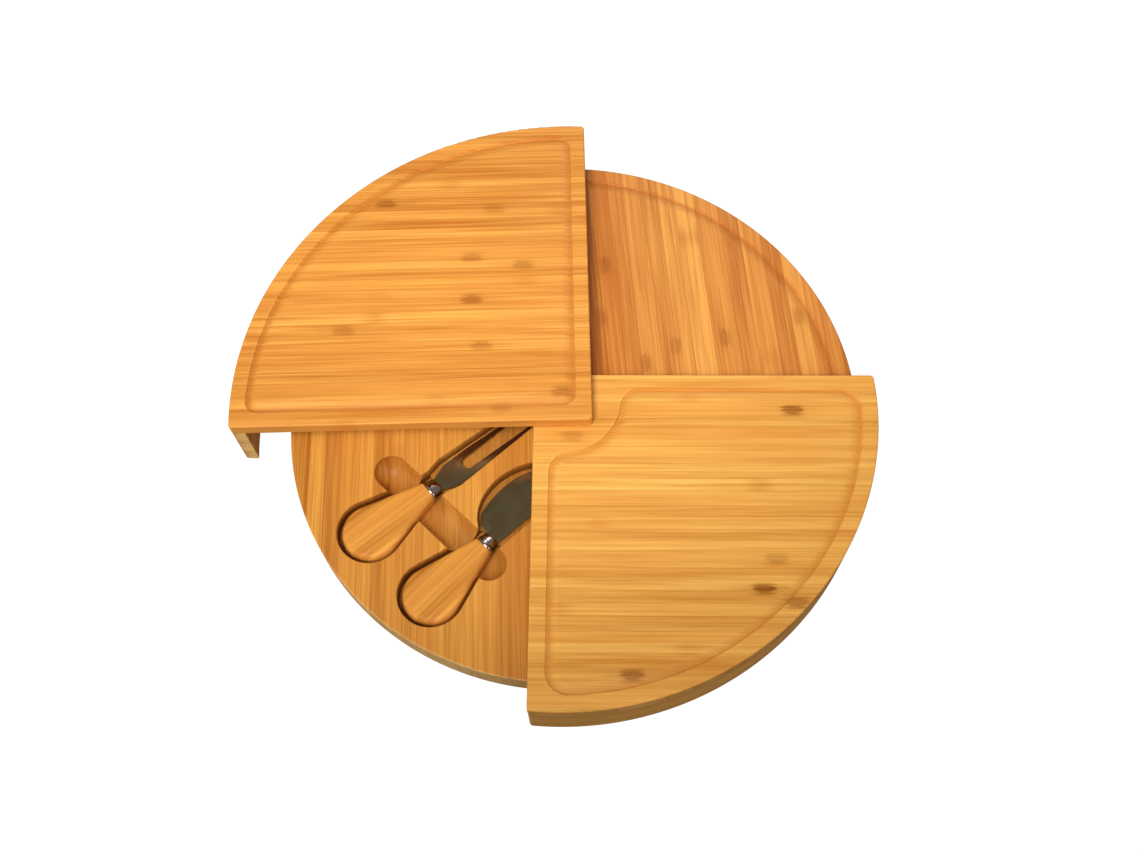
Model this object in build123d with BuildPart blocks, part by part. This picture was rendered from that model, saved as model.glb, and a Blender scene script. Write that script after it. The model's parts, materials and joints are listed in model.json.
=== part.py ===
from build123d import *
import os

os.makedirs("parts", exist_ok=True)

# Driving dimensions in millimetres. The table top is Z = 0 and the origin is the middle of the opened boards.
# The highest board sweeps a circle of eighteen inches.
OPEN_DIAMETER = 457.2
BASE_THICKNESS = 20.0
PLATE_THICKNESS = 9.5
SPACER_THICKNESS = 1.0
RIM_THICKNESS = 9.5
RIM_CLEARANCE = 2.5
EDGE_PAST_PIVOT = 20.0
CORNER_RADIUS = 2.5
EDGE_ROUND = 1.2
RIM_FOOT_CHAMFER = 0.8

# How far each board is turned out from the base, in degrees about the pivot.
SECOND_ANGLE = 182.5
THIRD_ANGLE = 87.4
TOP_ANGLE = -90.9

# Each rim runs just inside the next one, so the radii step by one rim and its clearance.
RADIUS_STEP = RIM_THICKNESS + RIM_CLEARANCE
TOP_RADIUS = OPEN_DIAMETER / 2
THIRD_RADIUS = TOP_RADIUS - RADIUS_STEP
SECOND_RADIUS = THIRD_RADIUS - RADIUS_STEP
BASE_RADIUS = SECOND_RADIUS - RADIUS_STEP

# The pivot stands off the middle, because the two widest boards open to the back and the left.
PIVOT_X = RADIUS_STEP / 2
PIVOT_Y = -RADIUS_STEP / 2

# Levels, from the table up. Every rim stands on the table.
LEVEL_STEP = PLATE_THICKNESS + SPACER_THICKNESS
SECOND_BOTTOM = BASE_THICKNESS + SPACER_THICKNESS
THIRD_BOTTOM = SECOND_BOTTOM + LEVEL_STEP
TOP_BOTTOM = THIRD_BOTTOM + LEVEL_STEP

# Juice groove: a steep wall on the outer side and a long slope on the inner side.
# On the two middle boards it bends round the pivot.
GROOVE_INSET = 14.0
GROOVE_DEPTH = 1.8
GROOVE_WALL = 3.2
GROOVE_WALL_LEAN = 0.5
GROOVE_SLOPE = 4.8
GROOVE_BOTTOM_ROUND = 1.2
GROOVE_BREAKOUT = 0.3
GROOVE_CORNER = 12.0
TOP_GROOVE_CORNER = 6.0
SECOND_BEND_RADIUS = 25.0
SECOND_BEND_CORNER = 8.0
THIRD_BEND_RADIUS = 43.0

# Pivot: a flanged bolt from below, screwed into a blind insert in the top plate.
BOLT_RADIUS = 4.0
BORE_CLEARANCE = 0.06
THREAD_CLEARANCE = 0.02
HEAD_RADIUS = 6.5
HEAD_HEIGHT = 4.2
HEAD_ROUND = 1.2
SOCKET_ACROSS_FLATS = 5.0
SOCKET_DEPTH = 2.6
WASHER_RADIUS = 9.0
WASHER_THICKNESS = 1.2
WASHER_CLEARANCE = 0.3
COUNTERBORE_DEPTH = 7.4
COUNTERBORE_CLEARANCE = 1.2
SPACER_RADIUS = 16.0
INSERT_RADIUS = 5.6
INSERT_LENGTH = 7.0
INSERT_FIT = 0.02
BOLT_TIP_GAP = 0.6
BOLT_TIP_CHAMFER = 0.6

# Tools. Each lies along its own line, and the end of its blade is measured from the pivot.
# Its handle stands inside the rim by its margin, so its blade is as long as the board leaves it.
FORK_TIP_X = -27.8
FORK_TIP_Y = -1.1
FORK_ANGLE = 37.6
FORK_MARGIN = 58.6
KNIFE_TIP_X = -1.6
KNIFE_TIP_Y = -40.0
KNIFE_ANGLE = 44.5
KNIFE_MARGIN = 65.6
HANDLE_BULB_RADIUS = 20.0
HANDLE_NECK_REACH = 48.0
HANDLE_NECK_WIDTH = 14.5
HANDLE_NECK_FLAT = 3.0
HANDLE_THICKNESS = 13.0
HANDLE_ROUND = 4.0
FERRULE_LENGTH = 9.0
FERRULE_WIDTH = 15.2
FERRULE_HEIGHT = 12.4
FERRULE_CORNER = 5.0
FERRULE_TIP_WIDTH = 11.5
FERRULE_TIP_HEIGHT = 7.0
FERRULE_TIP_CORNER = 3.2
FERRULE_BEAD = 2.5
FERRULE_STEP = 1.4
BLADE_THICKNESS = 1.6
BLADE_ROOT_HALF = 5.2
TANG_WIDTH = 8.0
TANG_LENGTH = 30.0
TANG_CLEARANCE = 0.05

# Fork head: a sloping shoulder and two thin tines with a round ended slot between them.
FORK_HEAD_WIDTH = 18.9
FORK_SHOULDER = 11.0
FORK_SHOULDER_ROUND = 16.0
FORK_TAPER_ROUND = 30.0
FORK_SLOT_WIDTH = 8.6
FORK_SLOT_START = 21.5
FORK_TAPER_SHARE = 0.44
FORK_TIP_INNER = 5.6
FORK_TIP_OUTER = 6.8

# Knife blade: a straight spine and a deep curved belly, in reach and width from the ferrule.
# The belly is deepest, and falls to the tip, at its shares of the blade's length.
KNIFE_SPINE = -11.0
KNIFE_HEEL_REACH = 5.4
KNIFE_HEEL = 16.8
KNIFE_BELLY_SHARE = 0.26
KNIFE_BELLY = 20.5
KNIFE_FORE_SHARE = 0.74
KNIFE_FORE = 16.0
KNIFE_TIP = -7.5
KNIFE_TIP_BACK = 2.5
KNIFE_BEVEL = 5.0
KNIFE_EDGE = 0.4
KNIFE_BEVEL_BREAKOUT = 1.0

# Recess in the base board for the tools, with a round bottomed finger channel across the necks.
# The channel's ends are measured from the middles of the two handle bulbs.
HANDLE_POCKET_DEPTH = 14.0
HANDLE_POCKET_GAP = 3.0
BLADE_POCKET_DEPTH = 10.5
FORK_POCKET_GAP = 3.4
KNIFE_POCKET_GAP = 4.5
KNIFE_POCKET_HEEL_GAP = 2.7
KNIFE_POCKET_CORNER = 4.0
FERRULE_POCKET_WIDTH = 21.0
FERRULE_POCKET_START = 40.0
RECESS_ROUND = 0.6
FINGER_RADIUS = 12.0
FINGER_PAST_FORK_X = 13.5
FINGER_PAST_FORK_Y = 43.4
FINGER_PAST_KNIFE_X = 38.7
FINGER_PAST_KNIFE_Y = 19.5

# Values that follow from the ones above.
POCKET_FLOOR = BASE_THICKNESS - HANDLE_POCKET_DEPTH
TOOL_AXIS_HEIGHT = POCKET_FLOOR + HANDLE_THICKNESS / 2
BORE_RADIUS = BOLT_RADIUS + BORE_CLEARANCE
GROOVE_PROFILE = (
    (-GROOVE_WALL - GROOVE_WALL_LEAN * GROOVE_BREAKOUT / GROOVE_DEPTH, GROOVE_BREAKOUT),
    (GROOVE_WALL_LEAN - GROOVE_WALL, -GROOVE_DEPTH),
    (GROOVE_SLOPE * (1 + GROOVE_BREAKOUT / GROOVE_DEPTH), GROOVE_BREAKOUT),
)
FERRULE_END = HANDLE_NECK_REACH + FERRULE_LENGTH
FORK_LENGTH = BASE_RADIUS - FERRULE_END - FORK_MARGIN
FORK_TAPER_START = FORK_TAPER_SHARE * FORK_LENGTH
FORK_ALONG = Vector(1, 0, 0).rotate(Axis.Z, FORK_ANGLE)
FORK_BULB = Vector(FORK_TIP_X, FORK_TIP_Y, 0) - FORK_ALONG * (FERRULE_END + FORK_LENGTH)
KNIFE_LENGTH = BASE_RADIUS - FERRULE_END - KNIFE_MARGIN
KNIFE_BELLY_REACH = KNIFE_BELLY_SHARE * KNIFE_LENGTH
KNIFE_FORE_REACH = KNIFE_FORE_SHARE * KNIFE_LENGTH
KNIFE_ALONG = Vector(1, 0, 0).rotate(Axis.Z, KNIFE_ANGLE)
KNIFE_BULB = Vector(KNIFE_TIP_X, KNIFE_TIP_Y, 0) - KNIFE_ALONG * (FERRULE_END + KNIFE_LENGTH)
TANG_END = HANDLE_NECK_REACH - TANG_LENGTH
NECK_POCKET_WIDTH = HANDLE_NECK_WIDTH + 2 * HANDLE_POCKET_GAP
FERRULE_POCKET_LENGTH = FERRULE_END - FERRULE_POCKET_START
FORK_POCKET_ROOT = FERRULE_POCKET_WIDTH / 2 - FORK_POCKET_GAP
KNIFE_BEVEL_DEPTH = (BLADE_THICKNESS - KNIFE_EDGE) / 2
KNIFE_BREAKOUT_HALF = KNIFE_EDGE / 2 - KNIFE_BEVEL_BREAKOUT * KNIFE_BEVEL_DEPTH / KNIFE_BEVEL
KNIFE_EDGE_POINTS = (
    (FERRULE_END, BLADE_ROOT_HALF),
    (FERRULE_END + KNIFE_HEEL_REACH, KNIFE_HEEL),
    (FERRULE_END + KNIFE_BELLY_REACH, KNIFE_BELLY),
    (FERRULE_END + KNIFE_FORE_REACH, KNIFE_FORE),
    (FERRULE_END + KNIFE_LENGTH, KNIFE_TIP),
)
KNIFE_POCKET_POINTS = (
    (FERRULE_END - KNIFE_POCKET_GAP, BLADE_ROOT_HALF),
    (FERRULE_END + KNIFE_HEEL_REACH - KNIFE_POCKET_HEEL_GAP, KNIFE_HEEL),
    (FERRULE_END + KNIFE_BELLY_REACH, KNIFE_BELLY + KNIFE_POCKET_GAP),
    (FERRULE_END + KNIFE_FORE_REACH, KNIFE_FORE + KNIFE_POCKET_GAP),
    (FERRULE_END + KNIFE_LENGTH + KNIFE_POCKET_GAP, KNIFE_TIP),
)
HEAD_TOP = COUNTERBORE_DEPTH - WASHER_THICKNESS
BOLT_TIP = TOP_BOTTOM + INSERT_LENGTH - BOLT_TIP_GAP
RIM_REACH = 2 * TOP_RADIUS
PIVOT = Plane(Location((PIVOT_X, PIVOT_Y, 0)))
SECOND_TABLE = Plane(Location((PIVOT_X, PIVOT_Y, 0), (0, 0, SECOND_ANGLE)))
THIRD_TABLE = Plane(Location((PIVOT_X, PIVOT_Y, 0), (0, 0, THIRD_ANGLE)))
TOP_TABLE = Plane(Location((PIVOT_X, PIVOT_Y, 0), (0, 0, TOP_ANGLE)))
HEAD_UNDERSIDE = PIVOT.offset(HEAD_TOP - HEAD_HEIGHT)
SECOND_UNDERSIDE = SECOND_TABLE.offset(SECOND_BOTTOM)
THIRD_UNDERSIDE = THIRD_TABLE.offset(THIRD_BOTTOM)
TOP_UNDERSIDE = TOP_TABLE.offset(TOP_BOTTOM)
FORK_POCKET = Plane(
    Location((PIVOT_X + FORK_BULB.X, PIVOT_Y + FORK_BULB.Y, BASE_THICKNESS), (0, 0, FORK_ANGLE))
)
KNIFE_POCKET = Plane(
    Location((PIVOT_X + KNIFE_BULB.X, PIVOT_Y + KNIFE_BULB.Y, BASE_THICKNESS), (0, 0, KNIFE_ANGLE))
)
FORK_AXIS = Plane(
    Location((PIVOT_X + FORK_BULB.X, PIVOT_Y + FORK_BULB.Y, TOOL_AXIS_HEIGHT), (0, 0, FORK_ANGLE))
)
KNIFE_AXIS = Plane(
    Location((PIVOT_X + KNIFE_BULB.X, PIVOT_Y + KNIFE_BULB.Y, TOOL_AXIS_HEIGHT), (0, 0, KNIFE_ANGLE))
)
FORK_FERRULE = Plane(
    origin=FORK_AXIS.from_local_coords((HANDLE_NECK_REACH, 0, 0)),
    x_dir=FORK_AXIS.y_dir,
    z_dir=FORK_AXIS.x_dir,
)
KNIFE_FERRULE = Plane(
    origin=KNIFE_AXIS.from_local_coords((HANDLE_NECK_REACH, 0, 0)),
    x_dir=KNIFE_AXIS.y_dir,
    z_dir=KNIFE_AXIS.x_dir,
)
FINGER_START = FORK_BULB + Vector(FINGER_PAST_FORK_X, FINGER_PAST_FORK_Y, 0)
FINGER_END = KNIFE_BULB + Vector(FINGER_PAST_KNIFE_X, FINGER_PAST_KNIFE_Y, 0)
FINGER_LINE = FINGER_END - FINGER_START
FINGER_HEIGHT = POCKET_FLOOR + FINGER_RADIUS
FINGER_PLANE = Plane(
    origin=(PIVOT_X + FINGER_START.X, PIVOT_Y + FINGER_START.Y, FINGER_HEIGHT),
    x_dir=FINGER_LINE,
    z_dir=(0, 0, 1),
)
FINGER_LENGTH = FINGER_LINE.length

# Base board: a thick quarter round that carries the pivot and holds the tools.
with BuildPart() as base_board:
    with BuildSketch(PIVOT) as base_outline:
        Circle(BASE_RADIUS)
        with Locations((EDGE_PAST_PIVOT, EDGE_PAST_PIVOT)):
            Rectangle(RIM_REACH, RIM_REACH, align=(Align.MAX, Align.MAX), mode=Mode.INTERSECT)
        fillet(base_outline.vertices(), CORNER_RADIUS)
    extrude(amount=BASE_THICKNESS)
    fillet(base_board.faces().sort_by(Axis.Z)[-1].edges(), EDGE_ROUND)
    # Pear shaped pockets for the two handles, with room round the ferrules.
    with BuildSketch(FORK_POCKET):
        Circle(HANDLE_BULB_RADIUS + HANDLE_POCKET_GAP)
        with Locations((HANDLE_NECK_REACH, 0)):
            Rectangle(HANDLE_NECK_FLAT, NECK_POCKET_WIDTH, align=(Align.MAX, Align.CENTER))
        make_hull()
        with Locations((FERRULE_POCKET_START, 0)):
            Rectangle(FERRULE_POCKET_LENGTH, FERRULE_POCKET_WIDTH, align=(Align.MIN, Align.CENTER))
    extrude(amount=-HANDLE_POCKET_DEPTH, mode=Mode.SUBTRACT)
    with BuildSketch(KNIFE_POCKET):
        Circle(HANDLE_BULB_RADIUS + HANDLE_POCKET_GAP)
        with Locations((HANDLE_NECK_REACH, 0)):
            Rectangle(HANDLE_NECK_FLAT, NECK_POCKET_WIDTH, align=(Align.MAX, Align.CENTER))
        make_hull()
        with Locations((FERRULE_POCKET_START, 0)):
            Rectangle(FERRULE_POCKET_LENGTH, FERRULE_POCKET_WIDTH, align=(Align.MIN, Align.CENTER))
    extrude(amount=-HANDLE_POCKET_DEPTH, mode=Mode.SUBTRACT)
    # Shallower pockets for the fork head and the knife blade.
    with BuildSketch(FORK_POCKET):
        with BuildLine():
            Polyline(
                (FERRULE_END, -FORK_POCKET_ROOT),
                (FERRULE_END + FORK_SHOULDER, -FORK_HEAD_WIDTH / 2),
                (FERRULE_END + FORK_LENGTH, -FORK_TIP_OUTER),
                (FERRULE_END + FORK_LENGTH, FORK_TIP_OUTER),
                (FERRULE_END + FORK_SHOULDER, FORK_HEAD_WIDTH / 2),
                (FERRULE_END, FORK_POCKET_ROOT),
                close=True,
            )
        make_face()
        offset(amount=FORK_POCKET_GAP)
    extrude(amount=-BLADE_POCKET_DEPTH, mode=Mode.SUBTRACT)
    with BuildSketch(KNIFE_POCKET) as knife_pocket:
        with BuildLine():
            pocket_belly = Spline(*KNIFE_POCKET_POINTS)
            Polyline(
                pocket_belly @ 1,
                (FERRULE_END + KNIFE_LENGTH, KNIFE_SPINE - KNIFE_POCKET_GAP),
                (FERRULE_END - KNIFE_POCKET_GAP, -FERRULE_POCKET_WIDTH / 2),
                pocket_belly @ 0,
            )
        make_face()
        fillet(knife_pocket.vertices().sort_by(Axis.X)[-2:], KNIFE_POCKET_CORNER)
    extrude(amount=-BLADE_POCKET_DEPTH, mode=Mode.SUBTRACT)
    # Finger channel: a round bottomed trough with ball ends, open to the top face.
    with BuildSketch(FINGER_PLANE):
        with Locations((FINGER_LENGTH / 2, 0)):
            SlotCenterToCenter(FINGER_LENGTH, 2 * FINGER_RADIUS)
    extrude(amount=BASE_THICKNESS - FINGER_HEIGHT, mode=Mode.SUBTRACT)
    with BuildSketch(FINGER_PLANE):
        with Locations((FINGER_LENGTH / 2, 0)):
            SlotCenterToCenter(FINGER_LENGTH, 2 * FINGER_RADIUS)
        Rectangle(2 * RIM_REACH, RIM_REACH, align=(Align.CENTER, Align.MIN), mode=Mode.INTERSECT)
    revolve(axis=Axis(FINGER_PLANE.origin, FINGER_PLANE.x_dir), mode=Mode.SUBTRACT)
    # The rim of the recess is eased all round.
    base_top = base_board.faces().filter_by(Plane.XY).sort_by(Axis.Z)[-1]
    fillet(base_top.inner_wires()[0].edges(), RECESS_ROUND)
    # Bolt bore, and the counterbore below for the bolt head and its washer.
    with Locations((PIVOT_X, PIVOT_Y, 0)):
        Cylinder(
            BORE_RADIUS,
            BASE_THICKNESS,
            align=(Align.CENTER, Align.CENTER, Align.MIN),
            mode=Mode.SUBTRACT,
        )
        Cylinder(
            WASHER_RADIUS + COUNTERBORE_CLEARANCE,
            COUNTERBORE_DEPTH,
            align=(Align.CENTER, Align.CENTER, Align.MIN),
            mode=Mode.SUBTRACT,
        )
base_board.part.label = "base_board"
export_step(base_board.part, "parts/base_board.step")

# Second board: plate and rim. Its rim runs just outside the base board.
with BuildPart() as second_plate:
    with BuildSketch(SECOND_UNDERSIDE) as second_outline:
        Circle(SECOND_RADIUS)
        with Locations((EDGE_PAST_PIVOT, EDGE_PAST_PIVOT)):
            Rectangle(RIM_REACH, RIM_REACH, align=(Align.MAX, Align.MAX), mode=Mode.INTERSECT)
        fillet(second_outline.vertices(), CORNER_RADIUS)
        Circle(BORE_RADIUS, mode=Mode.SUBTRACT)
    extrude(amount=PLATE_THICKNESS)
    second_top = second_plate.faces().sort_by(Axis.Z)[-1]
    fillet(second_top.outer_wire().edges(), EDGE_ROUND)
    with BuildSketch(SECOND_UNDERSIDE.offset(PLATE_THICKNESS), mode=Mode.PRIVATE) as second_path:
        Circle(SECOND_RADIUS - GROOVE_INSET)
        with Locations((EDGE_PAST_PIVOT - GROOVE_INSET, EDGE_PAST_PIVOT - GROOVE_INSET)):
            Rectangle(RIM_REACH, RIM_REACH, align=(Align.MAX, Align.MAX), mode=Mode.INTERSECT)
        Circle(SECOND_BEND_RADIUS, mode=Mode.SUBTRACT)
        fillet(second_path.vertices().group_by(SortBy.DISTANCE)[0], SECOND_BEND_CORNER)
        fillet(second_path.vertices().group_by(SortBy.DISTANCE)[-1], GROOVE_CORNER)
    second_wire = second_path.sketch.faces()[0].outer_wire()
    second_tangent = second_wire % 0
    with BuildSketch(
        Plane(origin=second_wire @ 0, x_dir=Vector(0, 0, 1).cross(second_tangent), z_dir=second_tangent)
    ) as second_profile:
        with BuildLine():
            Polyline(*GROOVE_PROFILE, close=True)
        make_face()
        fillet(second_profile.vertices().sort_by(Axis.Y)[0], GROOVE_BOTTOM_ROUND)
    sweep(path=second_wire, mode=Mode.SUBTRACT)
second_plate.part.label = "second_plate"
export_step(second_plate.part, "parts/second_plate.step")

with BuildPart() as second_rim:
    with BuildSketch(SECOND_TABLE) as second_rim_outline:
        Circle(SECOND_RADIUS)
        with Locations((EDGE_PAST_PIVOT, EDGE_PAST_PIVOT)):
            Rectangle(RIM_REACH, RIM_REACH, align=(Align.MAX, Align.MAX), mode=Mode.INTERSECT)
        Circle(SECOND_RADIUS - RIM_THICKNESS, mode=Mode.SUBTRACT)
        fillet(second_rim_outline.vertices().group_by(SortBy.DISTANCE)[-1], CORNER_RADIUS)
    extrude(amount=SECOND_BOTTOM)
    chamfer(second_rim.faces().sort_by(Axis.Z)[0].edges(), RIM_FOOT_CHAMFER)
second_rim.part.label = "second_rim"
export_step(second_rim.part, "parts/second_rim.step")

# Third board: the same again, one level up and one rim further out.
with BuildPart() as third_plate:
    with BuildSketch(THIRD_UNDERSIDE) as third_outline:
        Circle(THIRD_RADIUS)
        with Locations((EDGE_PAST_PIVOT, EDGE_PAST_PIVOT)):
            Rectangle(RIM_REACH, RIM_REACH, align=(Align.MAX, Align.MAX), mode=Mode.INTERSECT)
        fillet(third_outline.vertices(), CORNER_RADIUS)
        Circle(BORE_RADIUS, mode=Mode.SUBTRACT)
    extrude(amount=PLATE_THICKNESS)
    third_top = third_plate.faces().sort_by(Axis.Z)[-1]
    fillet(third_top.outer_wire().edges(), EDGE_ROUND)
    with BuildSketch(THIRD_UNDERSIDE.offset(PLATE_THICKNESS), mode=Mode.PRIVATE) as third_path:
        Circle(THIRD_RADIUS - GROOVE_INSET)
        with Locations((EDGE_PAST_PIVOT - GROOVE_INSET, EDGE_PAST_PIVOT - GROOVE_INSET)):
            Rectangle(RIM_REACH, RIM_REACH, align=(Align.MAX, Align.MAX), mode=Mode.INTERSECT)
        Circle(THIRD_BEND_RADIUS, mode=Mode.SUBTRACT)
        fillet(third_path.vertices(), GROOVE_CORNER)
    third_wire = third_path.sketch.faces()[0].outer_wire()
    third_tangent = third_wire % 0
    with BuildSketch(
        Plane(origin=third_wire @ 0, x_dir=Vector(0, 0, 1).cross(third_tangent), z_dir=third_tangent)
    ) as third_profile:
        with BuildLine():
            Polyline(*GROOVE_PROFILE, close=True)
        make_face()
        fillet(third_profile.vertices().sort_by(Axis.Y)[0], GROOVE_BOTTOM_ROUND)
    sweep(path=third_wire, mode=Mode.SUBTRACT)
third_plate.part.label = "third_plate"
export_step(third_plate.part, "parts/third_plate.step")

with BuildPart() as third_rim:
    with BuildSketch(THIRD_TABLE) as third_rim_outline:
        Circle(THIRD_RADIUS)
        with Locations((EDGE_PAST_PIVOT, EDGE_PAST_PIVOT)):
            Rectangle(RIM_REACH, RIM_REACH, align=(Align.MAX, Align.MAX), mode=Mode.INTERSECT)
        Circle(THIRD_RADIUS - RIM_THICKNESS, mode=Mode.SUBTRACT)
        fillet(third_rim_outline.vertices().group_by(SortBy.DISTANCE)[-1], CORNER_RADIUS)
    extrude(amount=THIRD_BOTTOM)
    chamfer(third_rim.faces().sort_by(Axis.Z)[0].edges(), RIM_FOOT_CHAMFER)
third_rim.part.label = "third_rim"
export_step(third_rim.part, "parts/third_rim.step")

# Top board: its groove has tight corners, and the pivot stops inside it, out of sight.
with BuildPart() as top_plate:
    with BuildSketch(TOP_UNDERSIDE) as top_outline:
        Circle(TOP_RADIUS)
        with Locations((EDGE_PAST_PIVOT, EDGE_PAST_PIVOT)):
            Rectangle(RIM_REACH, RIM_REACH, align=(Align.MAX, Align.MAX), mode=Mode.INTERSECT)
        fillet(top_outline.vertices(), CORNER_RADIUS)
    extrude(amount=PLATE_THICKNESS)
    top_top = top_plate.faces().sort_by(Axis.Z)[-1]
    fillet(top_top.outer_wire().edges(), EDGE_ROUND)
    with BuildSketch(TOP_UNDERSIDE.offset(PLATE_THICKNESS), mode=Mode.PRIVATE) as top_path:
        Circle(TOP_RADIUS - GROOVE_INSET)
        with Locations((EDGE_PAST_PIVOT - GROOVE_INSET, EDGE_PAST_PIVOT - GROOVE_INSET)):
            Rectangle(RIM_REACH, RIM_REACH, align=(Align.MAX, Align.MAX), mode=Mode.INTERSECT)
        fillet(top_path.vertices(), TOP_GROOVE_CORNER)
    top_wire = top_path.sketch.faces()[0].outer_wire()
    top_tangent = top_wire % 0
    with BuildSketch(
        Plane(origin=top_wire @ 0, x_dir=Vector(0, 0, 1).cross(top_tangent), z_dir=top_tangent)
    ) as top_profile:
        with BuildLine():
            Polyline(*GROOVE_PROFILE, close=True)
        make_face()
        fillet(top_profile.vertices().sort_by(Axis.Y)[0], GROOVE_BOTTOM_ROUND)
    sweep(path=top_wire, mode=Mode.SUBTRACT)
    with Locations((PIVOT_X, PIVOT_Y, TOP_BOTTOM)):
        Cylinder(
            INSERT_RADIUS + INSERT_FIT,
            INSERT_LENGTH,
            align=(Align.CENTER, Align.CENTER, Align.MIN),
            mode=Mode.SUBTRACT,
        )
top_plate.part.label = "top_plate"
export_step(top_plate.part, "parts/top_plate.step")

with BuildPart() as top_rim:
    with BuildSketch(TOP_TABLE) as top_rim_outline:
        Circle(TOP_RADIUS)
        with Locations((EDGE_PAST_PIVOT, EDGE_PAST_PIVOT)):
            Rectangle(RIM_REACH, RIM_REACH, align=(Align.MAX, Align.MAX), mode=Mode.INTERSECT)
        Circle(TOP_RADIUS - RIM_THICKNESS, mode=Mode.SUBTRACT)
        fillet(top_rim_outline.vertices().group_by(SortBy.DISTANCE)[-1], CORNER_RADIUS)
    extrude(amount=TOP_BOTTOM)
    chamfer(top_rim.faces().sort_by(Axis.Z)[0].edges(), RIM_FOOT_CHAMFER)
top_rim.part.label = "top_rim"
export_step(top_rim.part, "parts/top_rim.step")

# Pivot bolt: socket head below the base board, shank up into the insert of the top plate.
with BuildPart() as pivot_bolt:
    with BuildSketch(HEAD_UNDERSIDE):
        Circle(HEAD_RADIUS)
    extrude(amount=HEAD_HEIGHT)
    fillet(pivot_bolt.edges().sort_by(Axis.Z)[0], HEAD_ROUND)
    with BuildSketch(HEAD_UNDERSIDE):
        RegularPolygon(SOCKET_ACROSS_FLATS / 2, 6, major_radius=False)
    extrude(amount=SOCKET_DEPTH, mode=Mode.SUBTRACT)
    with BuildSketch(PIVOT.offset(HEAD_TOP)):
        Circle(BOLT_RADIUS)
    extrude(amount=BOLT_TIP - HEAD_TOP)
    chamfer(pivot_bolt.edges().sort_by(Axis.Z)[-1], BOLT_TIP_CHAMFER)
pivot_bolt.part.label = "pivot_bolt"
export_step(pivot_bolt.part, "parts/pivot_bolt.step")

# Washer between the bolt head and the base board.
with BuildPart() as pivot_washer:
    with BuildSketch(PIVOT.offset(HEAD_TOP)):
        Circle(WASHER_RADIUS)
        Circle(BOLT_RADIUS + WASHER_CLEARANCE, mode=Mode.SUBTRACT)
    extrude(amount=WASHER_THICKNESS)
pivot_washer.part.label = "pivot_washer"
export_step(pivot_washer.part, "parts/pivot_washer.step")

# Blind threaded insert let into the underside of the top plate.
with BuildPart() as pivot_insert:
    with BuildSketch(PIVOT.offset(TOP_BOTTOM)):
        Circle(INSERT_RADIUS)
        Circle(BOLT_RADIUS + THREAD_CLEARANCE, mode=Mode.SUBTRACT)
    extrude(amount=INSERT_LENGTH)
pivot_insert.part.label = "pivot_insert"
export_step(pivot_insert.part, "parts/pivot_insert.step")

# Flat spacer washers that the boards turn on.
with BuildPart() as lower_spacer:
    with BuildSketch(PIVOT.offset(BASE_THICKNESS)):
        Circle(SPACER_RADIUS)
        Circle(BOLT_RADIUS + WASHER_CLEARANCE, mode=Mode.SUBTRACT)
    extrude(amount=SPACER_THICKNESS)
lower_spacer.part.label = "lower_spacer"
export_step(lower_spacer.part, "parts/lower_spacer.step")

with BuildPart() as middle_spacer:
    with BuildSketch(PIVOT.offset(SECOND_BOTTOM + PLATE_THICKNESS)):
        Circle(SPACER_RADIUS)
        Circle(BOLT_RADIUS + WASHER_CLEARANCE, mode=Mode.SUBTRACT)
    extrude(amount=SPACER_THICKNESS)
middle_spacer.part.label = "middle_spacer"
export_step(middle_spacer.part, "parts/middle_spacer.step")

with BuildPart() as upper_spacer:
    with BuildSketch(PIVOT.offset(THIRD_BOTTOM + PLATE_THICKNESS)):
        Circle(SPACER_RADIUS)
        Circle(BOLT_RADIUS + WASHER_CLEARANCE, mode=Mode.SUBTRACT)
    extrude(amount=SPACER_THICKNESS)
upper_spacer.part.label = "upper_spacer"
export_step(upper_spacer.part, "parts/upper_spacer.step")

# Fork: pear shaped handle, ferrule, and a two tined head with a tang that runs through both.
with BuildPart() as fork_handle:
    with BuildSketch(FORK_AXIS.offset(-HANDLE_THICKNESS / 2)):
        Circle(HANDLE_BULB_RADIUS)
        with Locations((HANDLE_NECK_REACH, 0)):
            Rectangle(HANDLE_NECK_FLAT, HANDLE_NECK_WIDTH, align=(Align.MAX, Align.CENTER))
        make_hull()
    extrude(amount=HANDLE_THICKNESS)
    fork_end = fork_handle.faces().sort_by(Axis(FORK_AXIS.origin, FORK_AXIS.x_dir))[-1]
    fork_faces = fork_handle.faces().sort_by(Axis.Z)
    fork_rounds = fork_faces[-1].edges() + fork_faces[0].edges()
    fork_end_edges = fork_end.edges()
    fillet([edge for edge in fork_rounds if edge not in fork_end_edges], HANDLE_ROUND)
    with BuildSketch(FORK_AXIS.offset(-BLADE_THICKNESS / 2 - TANG_CLEARANCE)):
        with Locations((TANG_END - TANG_CLEARANCE, 0)):
            Rectangle(
                TANG_LENGTH + 2 * TANG_CLEARANCE,
                TANG_WIDTH + 2 * TANG_CLEARANCE,
                align=(Align.MIN, Align.CENTER),
            )
    extrude(amount=BLADE_THICKNESS + 2 * TANG_CLEARANCE, mode=Mode.SUBTRACT)
fork_handle.part.label = "fork_handle"
export_step(fork_handle.part, "parts/fork_handle.step")

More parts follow.
